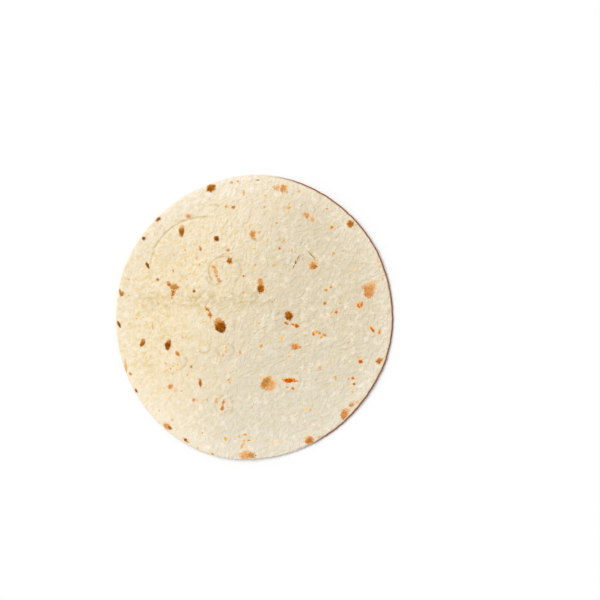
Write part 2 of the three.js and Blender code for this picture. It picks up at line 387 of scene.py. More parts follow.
def add_cage():
    """A round slab of quads: a relaxed grid in the middle, rings outside it and two faces over the rim."""
    bpy.ops.object.select_all(action="DESELECT")
    bpy.ops.mesh.primitive_circle_add(
        vertices=CAGE_SIDES, radius=RADIUS * CORE_SHARE, fill_type="NOTHING", calc_uvs=False
    )
    dough = bpy.context.object
    dough.name = PIECE
    dough.data.name = PIECE

    bpy.ops.object.mode_set(mode="EDIT")
    bpy.ops.mesh.select_all(action="SELECT")
    bpy.ops.mesh.fill_grid(span=CAGE_SIDES // 4)
    select_rim_edges()
    bpy.ops.mesh.select_mode(type="VERT")
    bpy.ops.mesh.select_all(action="INVERT")
    bpy.ops.mesh.vertices_smooth(factor=0.5, repeat=CAGE_RELAXING)

    reached = CORE_SHARE
    for ring in RING_SHARES:
        select_rim_edges()
        bpy.ops.mesh.extrude_region_move()
        spread(ring / reached)
        reached = ring
    bpy.ops.object.mode_set(mode="OBJECT")

    slab = dough.modifiers.new("slab", "SOLIDIFY")
    slab.thickness = CAGE_THICKNESS
    slab.offset = 0
    bpy.ops.object.modifier_apply(modifier=slab.name)

    # The wall of the slab gets one edge loop round its middle, pushed out to the rim's full reach.
    bpy.ops.object.mode_set(mode="EDIT")
    choose_nothing("EDGE")
    bpy.ops.object.mode_set(mode="OBJECT")
    for edge in dough.data.edges:
        ends = [dough.data.vertices[index].co.z for index in edge.vertices]
        edge.select = abs(ends[0] - ends[1]) > CAGE_THICKNESS / 2
    bpy.ops.object.mode_set(mode="EDIT")
    bpy.ops.mesh.subdivide(number_cuts=1)
    choose_nothing("VERT")
    bpy.ops.object.mode_set(mode="OBJECT")
    for vertex in dough.data.vertices:
        vertex.select = abs(vertex.co.z) < CAGE_THICKNESS / 4
    bpy.ops.object.mode_set(mode="EDIT")
    spread(RIM_SPARE / RING_SHARES[-1])
    bpy.ops.object.mode_set(mode="OBJECT")
    return dough


def rim_of(node):
    """The node's rim seen from above, anticlockwise: angles, distances from the middle, and heights."""
    points = [vertex.co for vertex in node.data.vertices]
    hull = [points[index] for index in geometry.convex_hull_2d([point.xy for point in points])]
    hull.sort(key=lambda point: math.atan2(point.y, point.x))
    angles = np.array([math.atan2(point.y, point.x) for point in hull])
    reaches = np.array([point.xy.length for point in hull])
    heights = np.array([point.z for point in hull])
    return angles, reaches, heights


def fit_cage_to_frame(dough):
    """Moves each corner of the cage out to the frame's outline and up or down to its faces."""
    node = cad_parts[NODE]
    angles, reaches, heights = rim_of(node)
    surface = bvhtree.BVHTree.FromObject(node, bpy.context.evaluated_depsgraph_get())
    clear = HIGHEST.z + CAGE_THICKNESS
    for vertex in dough.data.vertices:
        angle = math.atan2(vertex.co.y, vertex.co.x)
        out = math.hypot(vertex.co.x, vertex.co.y) / RADIUS
        out *= np.interp(angle, angles, reaches, period=math.tau)
        x = out * math.cos(angle)
        y = out * math.sin(angle)
        if abs(vertex.co.z) > CAGE_THICKNESS / 4:
            side = math.copysign(1, vertex.co.z)
            height = surface.ray_cast(Vector((x, y, side * clear)), Vector((0, 0, -side)))[0].z
        else:
            height = np.interp(angle, angles, heights, period=math.tau)
        vertex.co = (x, y, height)


def lay_out_map(dough):
    """One flat disc of the map for each face of the dough, the upper one larger, each with half the rim."""
    layer = dough.data.uv_layers.new(name="OFBake")
    for face in dough.data.polygons:
        upper = sum(dough.data.vertices[index].co.z for index in face.vertices) > 0
        middle_u, middle_v, reach = UPPER_DISC if upper else LOWER_DISC
        scale = reach / RADIUS
        for corner in face.loop_indices:
            point = dough.data.vertices[dough.data.loops[corner].vertex_index].co
            across = point.x if upper else -point.x
            layer.uv[corner].vector = (middle_u + across * scale, middle_v + point.y * scale)


def refine(dough):
    """Rounds the cage off into the fine mesh that the relief is raised on."""
    rounding = dough.modifiers.new("rounding", "SUBSURF")
    rounding.levels = FINE_LEVELS
    rounding.render_levels = FINE_LEVELS
    bpy.ops.object.select_all(action="DESELECT")
    dough.select_set(True)
    bpy.context.view_layer.objects.active = dough
    bpy.ops.object.modifier_apply(modifier=rounding.name)
    bpy.ops.object.shade_smooth()


# ---- marks on the dough ----


def smooth_step(value, start, end):
    """0 where the value is at `start`, 1 where it is at `end`."""
    part = np.clip((value - start) / (end - start), 0, 1)
    return part * part * (3 - 2 * part)


def local_place(shape, x, y):
    """Where points lie in the measure of a mark or crumple, which is 1 on its edge."""
    half_width, half_length = half_sizes(shape)
    cos = math.cos(math.radians(shape.turn))
    sin = math.sin(math.radians(shape.turn))
    right = x - shape.x * MM
    up = y - shape.y * MM
    return (right * cos + up * sin) / half_width, (up * cos - right * sin) / half_length


def half_sizes(shape):
    """Half the width and half the length of a mark or crumple."""
    if isinstance(shape, Crumple):
        return shape.half_width * MM, shape.half_length * MM
    return shape.width / 2 * MM, shape.length / 2 * MM


def strewn_place(rng, reach):
    """A random place on the disc (mm), within a share of its radius."""
    out = RADIUS / MM * math.sqrt(rng.random()) * reach
    angle = rng.uniform(0, math.tau)
    return out * math.cos(angle), out * math.sin(angle)


def small_flecks(rng, count):
    """Small flecks strewn over one face, most of them faint."""
    flecks = []
    for _ in range(count):
        x, y = strewn_place(rng, FLECK_REACH)
        width = rng.uniform(*FLECK_WIDTH)
        along = width * rng.uniform(*FLECK_LENGTH)
        bearing = rng.uniform(0, 180)
        tone = FLECK_TONE[0] + FLECK_TONE[1] * rng.random() ** FLECK_SKEW
        flecks.append(Mark(x, y, width, along, bearing, tone, rng.uniform(*FLECK_BREAK_UP)))
    return flecks


def underside_marks(rng):
    """Scorches and toasted patches of the face that lay down, which baked a little darker."""
    scorches = []
    toasts = []
    for index in range(LOWER_MARKS):
        x, y = strewn_place(rng, LOWER_REACH)
        width = LOWER_WIDTH[0] + LOWER_WIDTH[1] * rng.random() ** LOWER_SKEW
        along = width * rng.uniform(*LOWER_LENGTH)
        bearing = rng.uniform(0, 180)
        if index % LOWER_SCORCH_EVERY == 0:
            tone = rng.uniform(*LOWER_SCORCH_TONE)
            break_up = rng.uniform(*LOWER_SCORCH_BREAK_UP)
            scorches.append(Mark(x, y, width, along, bearing, tone, break_up))
        x += rng.uniform(*LOWER_TOAST_STRAY)
        y += rng.uniform(*LOWER_TOAST_STRAY)
        width *= LOWER_TOAST_SIZE[0]
        along *= LOWER_TOAST_SIZE[1]
        tone = rng.uniform(*LOWER_TOAST_TONE)
        toasts.append(Mark(x, y, width, along, bearing, tone, rng.uniform(*LOWER_TOAST_BREAK_UP)))
    return scorches, toasts


def read(items, field, width=1, kind=float):
    """One number, or a row of them, for each of a mesh's points, corners or faces."""
    values = np.empty(len(items) * width, kind)
    items.foreach_get(field, values)
    return values.reshape(-1, width) if width > 1 else values


def corner_arrays(mesh):
    """For each face its middle and whether it belongs to the upper face; for each corner, point and face."""
    centres = read(mesh.polygons, "center", 3)
    on_top = read(mesh.polygons, "normal", 3)[:, 2] > UNDERSIDE_NORMAL
    point_of = read(mesh.loops, "vertex_index", kind=int)
    face_of = np.repeat(np.arange(len(centres)), read(mesh.polygons, "loop_total", kind=int))
    return centres, on_top, point_of, face_of


def write_attribute(mesh, name, domain, values):
    """Keeps numbers or triples of numbers on the mesh's points or corners."""
    kind = "FLOAT_VECTOR" if values.ndim == 2 else "FLOAT"
    field = "vector" if values.ndim == 2 else "value"
    attribute = mesh.attributes.new(name, kind, domain)
    attribute.data.foreach_set(field, values.astype(np.float32).ravel())


def write_marks(mesh, name, upper_marks, lower_marks):
    """Gives every corner its place in the nearest mark, and that mark's size, darkness, break-up and number.

    A face belongs to the mark whose edge is nearest, so a mark keeps its exact shape within it.
    """
    centres, on_top, point_of, face_of = corner_arrays(mesh)
    points = read(mesh.vertices, "co", 3)
    marks = [*upper_marks, *lower_marks]
    nearest = np.full(len(centres), MARK_REACH)
    owner = np.full(len(centres), -1)
    for index, mark in enumerate(marks):
        u, v = local_place(mark, centres[:, 0], centres[:, 1])
        gap = (np.hypot(u, v) - 1) * min(half_sizes(mark))
        mine = (gap < nearest) & (on_top == (index < len(upper_marks)))
        nearest[mine] = gap[mine]
        owner[mine] = index
    place = np.full((len(point_of), 3), NO_MARK)
    kind = np.zeros((len(point_of), 3))
    for index, mark in enumerate(marks):
        mine = owner[face_of] == index
        spots = points[point_of[mine]]
        place[mine, 0], place[mine, 1] = local_place(mark, spots[:, 0], spots[:, 1])
        place[mine, 2] = (mark.width + mark.length) / 4
        kind[mine] = (mark.tone, mark.break_up, index)
    write_attribute(mesh, name + "_place", "CORNER", place)
    write_attribute(mesh, name + "_kind", "CORNER", kind)


def turn_between(bearing, middle):
    """The angle between two bearings (degrees), whichever way round is shorter."""
    return np.abs((bearing - middle + 180) % 360 - 180)


def crease_measure(crease, x, y):
    """Distance outside a crease (metres, less than nothing inside it) and how strong it is there."""
    right = (x - crease.x * MM) / (crease.across * MM)
    up = (y - crease.y * MM) / (crease.along * MM)
    outside = (np.hypot(right, up) - 1) * (crease.across + crease.along) / 2 * MM
    if crease.last - crease.first >= 360:
        return outside, np.full_like(outside, crease.depth)
    angle = np.degrees(np.arctan2(up, right))
    half = (crease.last - crease.first) / 2
    beside = turn_between(angle - crease.first, half)
    return outside, crease.depth * smooth_step(half + CREASE_TAPER - beside, 0, 2 * CREASE_TAPER)


def crease_stray(points):
    """How far a crease strays from its arc at each point."""
    return noise_at(points * FLAT, CREASE_STRAY_SIZE, seed=9, octaves=2) * CREASE_STRAY


def write_creases(mesh):
    """Gives every corner of the upper face its distance from the nearest crease, and that crease's depth."""
    centres, on_top, point_of, face_of = corner_arrays(mesh)
    points = read(mesh.vertices, "co", 3)
    nearest = np.full(len(centres), NO_MARK)
    owner = np.full(len(centres), -1)
    for index, crease in enumerate(CREASES):
        outside, depth = crease_measure(crease, centres[:, 0], centres[:, 1])
        gap = np.where(depth > 0, np.abs(outside), NO_MARK)
        mine = (gap < nearest) & on_top
        nearest[mine] = gap[mine]
        owner[mine] = index
    values = np.full((len(point_of), 3), NO_MARK)
    values[:, 1:] = 0
    stray = crease_stray(points)
    wear = noise_at(points * FLAT, CREASE_WEAR_SIZE, seed=10, octaves=2)
    worn = CREASE_WORN + (1 - CREASE_WORN) * smooth_step(wear, -CREASE_WEAR_EDGE, CREASE_WEAR_EDGE)
    for index, crease in enumerate(CREASES):
        mine = owner[face_of] == index
        spots = points[point_of[mine]]
        outside, depth = crease_measure(crease, spots[:, 0], spots[:, 1])
        values[mine, 0] = outside + stray[point_of[mine]]
        values[mine, 1] = depth * worn[point_of[mine]]
    write_attribute(mesh, "crease", "CORNER", values)


# ---- relief ----

# The noise: how far apart its seeds lie, and how much fainter and finer each octave is than the last.
SEED_SHIFT = (7.3, 3.1, 11.7)
OCTAVE_FALL = 0.8
OCTAVE_STEP = 2.0

# What warps the pillows: its spacing and strength, in pillows, and its seeds, counted from theirs.
WARP_SIZE = 1.7
WARP_STRENGTH = 0.5
WARP_SEEDS = (20, 21, 22)
PILLOW_STEEPNESS = 2.2
PILLOW_SHOULDER = 0.7  # below 1 for a pillow with full shoulders

# How far a point faces up or down before it takes that face's relief, and how much further to take it all.
FACING_START = 0.2
FACING_SPAN = 0.6

# The share of its height that the relief has low down, what it gains further up, how far the line between
# the two leans, and the share that it loses towards the left.
LOW_SHARE = 0.8
LOW_GAIN = 0.2
LOW_SLANT = 0.3
LEFT_LOSS = 0.4

WRINKLE_LENGTH = 0.7  # below 1 for wrinkles drawn out across the disc
BLISTER_REACH = 1.5  # how far a blister reaches, in scorches
PRESSED_REACH = 1.3  # how far the flat place round an underside scorch reaches, in scorches
SHOULDER_WIDTH = 2.5 * MM  # how wide the slope inside a crease is
SHOULDER_FADE = 9 * MM  # how far in the dough sinks back
LIFT_GAIN = 3  # a crease of a third of full depth already lifts the dough inside it all the way

# The stretch of rim that is brown, partly a toasted edge and partly a painted contact shadow: its middle
# bearing, half angle and the angle that it fades over (degrees), and how brown the rest of the rim is beside
# it.
BROWN_BEARING = 6
BROWN_HALF_ANGLE = 62
BROWN_TAPER = 20
BROWN_ELSEWHERE = 0.03


def noise_at(points, size, seed, octaves=1):
    """Smooth noise from about -1 to 1 at each point, whose bumps are about `size` across."""
    shift = Vector([seed * part for part in SEED_SHIFT])
    values = np.empty(len(points))
    for index, (x, y, z) in enumerate(points / size):
        values[index] = noise.fractal(Vector((x, y, z)) + shift, OCTAVE_FALL, OCTAVE_STEP, octaves)
    return values


def pillows_at(points, size, seed):
    """Rounded pillows from 0 to about 1 with narrow valleys between them."""
    warp = np.column_stack([noise_at(points, size * WARP_SIZE, seed + extra) for extra in WARP_SEEDS])
    bumps = np.abs(noise_at(points + warp * size * WARP_STRENGTH, size, seed))
    return np.clip(bumps * PILLOW_STEEPNESS, 0, 1) ** PILLOW_SHOULDER


def bell(distance):
    """A smooth bump: 1 at 0, falling to 0 at 1 and beyond."""
    inside = np.clip(1 - distance * distance, 0, 1)
    return inside * inside


def bell_over(shape, x, y, reach=1):
    """A smooth bump over a mark or crumple, which ends at `reach` times its size."""
    return bell(np.hypot(*local_place(shape, x, y)) / reach)


def upper_relief(settings, points, lively, crumple, scorches):
    """How far each point stands above the smooth upper face."""
    x, y, _ = points.T
    flat = points * FLAT
    height = settings.pillow_height * lively * (pillows_at(flat, settings.pillow_size, seed=2) - 0.5)
    height += settings.swell_height * lively * noise_at(flat, settings.swell_size, seed=3, octaves=3)
    wrinkles = pillows_at(flat * (WRINKLE_LENGTH, 1, 1), settings.crumple_size, seed=4)
    height += settings.crumple_height * crumple * (wrinkles - 0.5)
    for mark in scorches:
        height += settings.blister_height * mark.tone * bell_over(mark, x, y, BLISTER_REACH)
    stray = crease_stray(points)
    for crease in CREASES:
        outside, depth = crease_measure(crease, x, y)
        outside += stray
        height -= settings.crease_depth * depth * np.exp(-((outside / settings.crease_width) ** 2))
        shoulder = smooth_step(-outside, 0, SHOULDER_WIDTH)
        strength = np.clip(depth * LIFT_GAIN, 0, 1)
        height += crease.lift * MM * shoulder * strength * np.exp(outside / SHOULDER_FADE)
    return height


def lower_relief(settings, points, scorches):
    """How far each point stands above the smooth underside, which lies flat where it scorched."""
    x, y, _ = points.T
    flat = points * FLAT
    height = settings.pillow_height * pillows_at(flat, settings.pillow_size, seed=5)
    height += settings.swell_height * (noise_at(flat, settings.swell_size, seed=6, octaves=2) + 1) / 2
    for mark in scorches:
        height *= 1 - mark.tone * bell_over(mark, x, y, PRESSED_REACH)
    return np.clip(height, 0, None)


def raise_relief(mesh, settings, scorches, lower_scorches):
    """Raises the relief on the smooth dough, and keeps what the finish has to know of it."""
    points = read(mesh.vertices, "co", 3)
    facing = read(mesh.vertices, "normal", 3)[:, 2]
    x = points[:, 0].copy()
    y = points[:, 1].copy()
    angle = np.arctan2(y, x)
    angles, reaches, _ = rim_of(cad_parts[NODE])
    out = np.hypot(x, y) / np.interp(angle, angles, reaches, period=math.tau)
    up = np.clip((facing - FACING_START) / FACING_SPAN, 0, 1)
    down = np.clip((-facing - FACING_START) / FACING_SPAN, 0, 1)

    lively = LOW_SHARE + LOW_GAIN * smooth_step(x * LOW_SLANT + y, start=-100 * MM, end=10 * MM)
    lively *= 1 - LEFT_LOSS * smooth_step(-x, start=15 * MM, end=75 * MM)
    crumple = np.zeros_like(x)
    for patch in CRUMPLES:
        crumple = np.maximum(crumple, patch.strength * bell_over(patch, x, y))
    wave = settings.wave_height * (noise_at(points * FLAT, settings.wave_size, seed=1) + 1) / 2
    upper = upper_relief(settings, points, lively, crumple, scorches)
    lower = lower_relief(settings, points, lower_scorches)
    points[:, 2] += wave * smooth_step(out, start=0.2, end=0.9) + up * upper + down * lower

    # The rim strays in and out.
    round_rim = np.column_stack([np.cos(angle), np.sin(angle), np.zeros(len(angle))]) * RADIUS
    stray = noise_at(round_rim, settings.rim_wander_size, seed=8, octaves=3) * settings.rim_wander
    near_rim = smooth_step(out, start=0.93, end=0.99)
    points[:, 0] += np.cos(angle) * stray * near_rim
    points[:, 1] += np.sin(angle) * stray * near_rim
    mesh.vertices.foreach_set("co", points.ravel())
    mesh.update()

    # The rim's brown stretch: partly a toasted edge, partly a painted contact shadow.
    beside = turn_between(np.degrees(angle), BROWN_BEARING)
    side = smooth_step(beside, BROWN_HALF_ANGLE + BROWN_TAPER, BROWN_HALF_ANGLE)
    rim_brown_and_shadow = smooth_step(out, start=0.985, end=0.992) * (BROWN_ELSEWHERE + (1 - BROWN_ELSEWHERE) * side)
    write_attribute(mesh, "rim", "POINT", rim_brown_and_shadow)
    write_attribute(mesh, "edge", "POINT", smooth_step(out, start=0.8, end=0.98))
    write_attribute(mesh, "crumple", "POINT", crumple * up)
    write_attribute(mesh, "lively", "POINT", lively)


# ---- material ----

# Noise runs from 0 to 1 about this middle.
MIDDLE = 0.5
# How far below its middle a mark is darkest, in its own measure.
MARK_CORE_DROP = (0, 0.3, 0)
# Where the edge of a mark lies in its own measure, and the most that it may soften by.
MARK_EDGE = 0.95
MARK_SOFTEST = 0.6
# How far inside and outside that edge a mark's dark core fades.
CORE_INSIDE = 0.3
CORE_OUTSIDE = 0.2
# How far apart two marks' noises lie.
MARK_SPACING = 5.37
# How far the fine ridges are drawn out, and the bearings that they run along (degrees).
RIDGE_STRETCH = (2.2, 1, 1)
RIDGE_BEARINGS = (68, 22)
DOUGH_SPECULAR = 0.06


def plug(tree, socket, value):
    """Links a socket into an input, or sets the input to a plain value."""
    if isinstance(value, bpy.types.NodeSocket):
        tree.links.new(value, socket)
    elif value is not None:
        socket.default_value = value


def math_node(tree, operation, first, second=None, third=None, clamp=False):
    node = tree.nodes.new("ShaderNodeMath")
    node.operation = operation
    node.use_clamp = clamp
    for socket, value in zip(node.inputs, (first, second, third)):
        plug(tree, socket, value)
    return node.outputs[0]


def scaled(tree, value, gain, base=0.0, clamp=False):
    """A value times a gain, on top of a base."""
    return math_node(tree, "MULTIPLY_ADD", value, gain, base, clamp)


def product(tree, first, second):
    return math_node(tree, "MULTIPLY", first, second)


def vector_node(tree, operation, first, second=None):
    node = tree.nodes.new("ShaderNodeVectorMath")
    node.operation = operation
    plug(tree, node.inputs[0], first)
    plug(tree, node.inputs[1], second)
    return node.outputs["Value" if operation == "LENGTH" else "Vector"]


def parts_of(tree, vector):
    """The three numbers of a vector."""
    node = tree.nodes.new("ShaderNodeSeparateXYZ")
    plug(tree, node.inputs[0], vector)
    return tuple(node.outputs)


def mix_colours(tree, factor, first, second):
    """From the first colour to the second. Each is a socket or a colour of the settings."""
    node = tree.nodes.new("ShaderNodeMix")
    node.data_type = "RGBA"
    plug(tree, node.inputs[0], factor)
    for socket, value in zip(node.inputs[6:8], (first, second)):
        plug(tree, socket, value if isinstance(value, bpy.types.NodeSocket) else (*value, 1))
    return node.outputs[2]


def noise_node(tree, place, scale, detail=2.0, roughness=0.5, distortion=0.0):
    """Noise from 0 to 1; the scale is its number of bumps to the metre."""
    node = tree.nodes.new("ShaderNodeTexNoise")
    plug(tree, node.inputs["Vector"], place)
    plug(tree, node.inputs["Scale"], scale)
    plug(tree, node.inputs["Detail"], detail)
    plug(tree, node.inputs["Roughness"], roughness)
    plug(tree, node.inputs["Distortion"], distortion)
    return node.outputs[0]


def fade_node(tree, value, start, end):
    """0 where the value is at `start`, 1 where it is at `end`."""
    node = tree.nodes.new("ShaderNodeMapRange")
    node.interpolation_type = "SMOOTHSTEP"
    plug(tree, node.inputs["Value"], value)
    plug(tree, node.inputs["From Min"], start)
    plug(tree, node.inputs["From Max"], end)
    return node.outputs["Result"]


def attribute_node(tree, name, output="Fac"):
    node = tree.nodes.new("ShaderNodeAttribute")
    node.attribute_name = name
    return node.outputs[output]


def ramp_node(tree, factor, colours):
    """Evenly spaced colours from the lowest factor to the highest."""
    node = tree.nodes.new("ShaderNodeValToRGB")
    plug(tree, node.inputs[0], factor)
    elements = node.color_ramp.elements
    while len(elements) < len(colours):
        elements.new(MIDDLE)
    for index, (element, display) in enumerate(zip(elements, colours)):
        element.position = index / (len(colours) - 1)
        element.color = (*colour(*display), 1)
    return node.outputs[0]


def new_group(name, vectors, numbers, results):
    """An empty node group with named inputs and outputs: the group, its inputs and its outputs."""
    group = bpy.data.node_groups.new(name, "ShaderNodeTree")
    for title in vectors:
        group.interface.new_socket(title, in_out="INPUT", socket_type="NodeSocketVector")
    for title in numbers:
        group.interface.new_socket(title, in_out="INPUT", socket_type="NodeSocketFloat")
    for title in results:
        group.interface.new_socket(title, in_out="OUTPUT", socket_type="NodeSocketFloat")
    given = group.nodes.new("NodeGroupInput")
    result = group.nodes.new("NodeGroupOutput")
    return group, given.outputs, result.inputs


def use_group(tree, group, values):
    """Adds a node group and fills its inputs."""
    node = tree.nodes.new("ShaderNodeGroup")
    node.node_tree = group
    for name, value in values.items():
        plug(tree, node.inputs[name], value)
    return node.outputs


def patches_group():
    """Soft, ragged patches: how much of a patch shows at a place."""
    group, given, result = new_group(
        "soft_patches", ("Position",), ("Scale", "Detail", "Start", "Full"), ("Mask",)
    )
    bumps = noise_node(
        group, given["Position"], given["Scale"], given["Detail"], roughness=0.6, distortion=0.6
    )
    plug(group, result["Mask"], fade_node(group, bumps, given["Start"], given["Full"]))
    return group


def ridges_group():
    """Soft ridges: 1 on top of a ridge, 0 in the wrinkle between two."""
    group, given, result = new_group("soft_ridges", ("Position",), ("Scale", "Softness"), ("Ridge",))
    bumps = noise_node(group, given["Position"], given["Scale"], detail=1.0, distortion=0.4)
    foot = math_node(group, "SUBTRACT", MIDDLE, given["Softness"])
    top = math_node(group, "ADD", given["Softness"], MIDDLE)
    plug(group, result["Ridge"], fade_node(group, bumps, foot, top))
    return group


def baked_mark_group():
    """Turns a place in a mark into how much of the mark shows there, and how hard it baked."""
    group, given, result = new_group(
        "baked_mark", ("Place", "Kind", "Position"), ("Softness",), ("Mask", "Heat")
    )
    size = parts_of(group, given["Place"])[2]
    tone, break_up, number = parts_of(group, given["Kind"])

    def centred_noise(place, **shape):
        return math_node(group, "SUBTRACT", noise_node(group, place, **shape), MIDDLE)

    # The third measure of the noise is the mark's number, so that no two marks are alike.
    flat = vector_node(group, "MULTIPLY", given["Place"], FLAT)
    lift = group.nodes.new("ShaderNodeCombineXYZ")
    plug(group, lift.inputs[2], product(group, number, MARK_SPACING))
    own = vector_node(group, "ADD", flat, lift.outputs[0])
    distance = vector_node(group, "LENGTH", flat)
    from_core = vector_node(group, "LENGTH", vector_node(group, "ADD", flat, MARK_CORE_DROP))

    shape = centred_noise(own, scale=1.1)
    crumbs = centred_noise(given["Position"], scale=800, roughness=0.6)
    blotches = centred_noise(given["Position"], scale=420, roughness=0.6)
    shaping = product(group, shape, scaled(group, break_up, gain=2.2, base=0.35))
    breaking = product(group, crumbs, scaled(group, break_up, gain=1.5, base=0.2))
    warp = math_node(group, "ADD", shaping, breaking)

    soft = math_node(group, "DIVIDE", given["Softness"], size)
    soft = math_node(group, "MINIMUM", soft, MARK_SOFTEST)
    outer = math_node(group, "ADD", soft, MARK_EDGE)
    inner = math_node(group, "SUBTRACT", MARK_EDGE, soft)
    mask = fade_node(group, math_node(group, "ADD", distance, warp), outer, inner)
    core_end = math_node(group, "SUBTRACT", inner, CORE_INSIDE)
    core_start = math_node(group, "ADD", outer, CORE_OUTSIDE)
    core = fade_node(group, math_node(group, "ADD", from_core, warp), core_start, core_end)
    heat = product(group, tone, scaled(group, core, gain=0.7, base=0.3))
    heat = product(group, heat, scaled(group, blotches, gain=1.1, base=1.0))
    plug(group, result["Mask"], mask)
    plug(group, result["Heat"], scaled(group, crumbs, gain=-0.45, base=heat, clamp=True))
    return group


def patch_mask(tree, patches, position, size, detail, start, full):
    """How much of the soft patches of one size shows."""
    values = {"Position": position, "Scale": 1 / size, "Detail": detail, "Start": start, "Full": full}
    return use_group(tree, patches, values)["Mask"]


def plain_dough(tree, settings, position, patches):
    """The unmarked dough: lighter and golden down the left, partly painted light where the light falls, with
    yellow veins, moister patches and dry flour.

    There is more flour towards the rim, and at the top and bottom of the golden side.
    """
    across, along, _ = parts_of(tree, position)
    # Painted light: the dough turns golden and lighter towards the left, where the light falls.
    side = fade_node(tree, scaled(tree, along, gain=-0.35, base=across), start=30 * MM, end=-92 * MM)
    near = fade_node(tree, along, start=30 * MM, end=-110 * MM)
    base = mix_colours(tree, near, settings.dough, settings.pale)
    base = mix_colours(tree, side, base, settings.golden)

    moist = patch_mask(tree, patches, position, settings.patch_size, detail=3, start=0.45, full=0.7)
    base = mix_colours(tree, scaled(tree, moist, gain=0.3), base, settings.moist)
    veins = patch_mask(tree, patches, position, settings.vein_size, detail=4, start=0.44, full=0.68)
    veins = product(tree, veins, scaled(tree, side, gain=0.84, base=0.24))
    base = mix_colours(tree, veins, base, settings.yellow)
    dust = patch_mask(tree, patches, position, settings.dust_size, detail=4, start=0.5, full=0.7)
    dust = scaled(tree, dust, gain=0.6)
    dust = scaled(tree, attribute_node(tree, "edge"), gain=0.3, base=dust, clamp=True)
    away = fade_node(tree, math_node(tree, "ABSOLUTE", along), start=40 * MM, end=115 * MM)
    dust = scaled(tree, product(tree, away, side), gain=0.4, base=dust, clamp=True)
    return mix_colours(tree, dust, base, settings.flour)


def ridge_height(tree, ridges, position, scale, softness):
    values = {"Position": position, "Scale": scale, "Softness": softness}
    return use_group(tree, ridges, values)["Ridge"]


def drawn_ridges(tree, ridges, position, bearing):
    """Fine ridges drawn out along one bearing (degrees)."""
    turned = tree.nodes.new("ShaderNodeMapping")
    turned.vector_type = "TEXTURE"
    plug(tree, turned.inputs["Vector"], position)
    turned.inputs["Rotation"].default_value = (0, 0, math.radians(bearing))
    turned.inputs["Scale"].default_value = RIDGE_STRETCH
    return ridge_height(tree, ridges, turned.outputs[0], scale=340, softness=0.14)


def add_marks(tree, position, base):
    """Bakes the three kinds of mark into the dough's colour: that colour, and how much of a scorch shows."""
    group = baked_mark_group()
    masks = {}
    for layer, (softness, colours) in MARK_LAYERS.items():
        mark = use_group(tree, group, {
            "Place": attribute_node(tree, layer + "_place", "Vector"),
            "Kind": attribute_node(tree, layer + "_kind", "Vector"),
            "Position": position,
            "Softness": softness,
        })
        base = mix_colours(tree, mark["Mask"], base, ramp_node(tree, mark["Heat"], colours))
        masks[layer] = mark["Mask"]
    return base, masks["scorch"]


def dough_material(settings):
    """Floury baked dough with its toasted and scorched marks."""
    material = bpy.data.materials.new("griddled_dough")
    material.use_nodes = True
    tree = material.node_tree
    shader = tree.nodes["Principled BSDF"]
    position = tree.nodes.new("ShaderNodeTexCoord").outputs["Object"]
    patches = patches_group()
    ridges = ridges_group()
    crumple = attribute_node(tree, "crumple")
    base = plain_dough(tree, settings, position, patches)
    base = mix_colours(tree, scaled(tree, crumple, gain=0.08), base, settings.moist)
    olive = patch_mask(tree, patches, position, settings.olive_size, detail=3, start=0.46, full=0.68)
    olive = product(tree, olive, scaled(tree, crumple, gain=0.42, base=0.1))
    base = mix_colours(tree, olive, base, settings.olive)

    # Fine ridges run up and down in some places and across in others.
    upright, level = (drawn_ridges(tree, ridges, position, bearing) for bearing in RIDGE_BEARINGS)
    where = patch_mask(tree, patches, position, settings.patch_size, detail=1, start=0.45, full=0.55)
    fine = product(tree, upright, math_node(tree, "SUBTRACT", 1, where))
    fine = scaled(tree, level, gain=where, base=fine)
    broad = ridge_height(tree, ridges, position, scale=180, softness=0.12)

    # Painted shade: the dough is a little darker between the ridges, more so in crumpled dough, and in the
    # creases, where their hollows lie in shade.
    beside, depth, _ = parts_of(tree, attribute_node(tree, "crease", "Vector"))
    line = fade_node(tree, math_node(tree, "ABSOLUTE", beside), start=1.6 * MM, end=0.1 * MM)
    line = product(tree, line, depth)
    low = math_node(tree, "SUBTRACT", 1, math_node(tree, "MAXIMUM", fine, broad))
    low = product(tree, low, scaled(tree, crumple, gain=0.42, base=0.08))
    base = mix_colours(tree, low, base, settings.crease)
    base = mix_colours(tree, scaled(tree, line, gain=0.54), base, settings.crease)
    # Painted shadow and toast: the rim's brown edge.
    rim_toast_and_shadow = scaled(tree, attribute_node(tree, "rim"), gain=0.95)
    base = mix_colours(tree, rim_toast_and_shadow, base, settings.toasted_rim_and_painted_shadow)
    base, scorched = add_marks(tree, position, base)
    plug(tree, shader.inputs["Base Color"], base)
    plug(tree, shader.inputs["Roughness"], scaled(tree, scorched, gain=-0.2, base=0.9))
    shader.inputs["Specular IOR Level"].default_value = DOUGH_SPECULAR

    # Grain and ridges finer than the mesh, in millimetres.
    grain = noise_node(tree, position, scale=560, roughness=0.6)
    height = product(tree, grain, settings.grain_height / MM)
    height = scaled(tree, fine, gain=settings.fine_ridge_height / MM, base=height)
    height = scaled(tree, broad, gain=settings.ridge_height / MM, base=height)
    height = scaled(tree, line, gain=-settings.crease_depth / MM, base=height)
    bump = tree.nodes.new("ShaderNodeBump")
    bump.inputs["Distance"].default_value = MM
    plug(tree, bump.inputs["Strength"], attribute_node(tree, "lively"))
    plug(tree, bump.inputs["Height"], height)
    plug(tree, shader.inputs["Normal"], bump.outputs["Normal"])
    return material


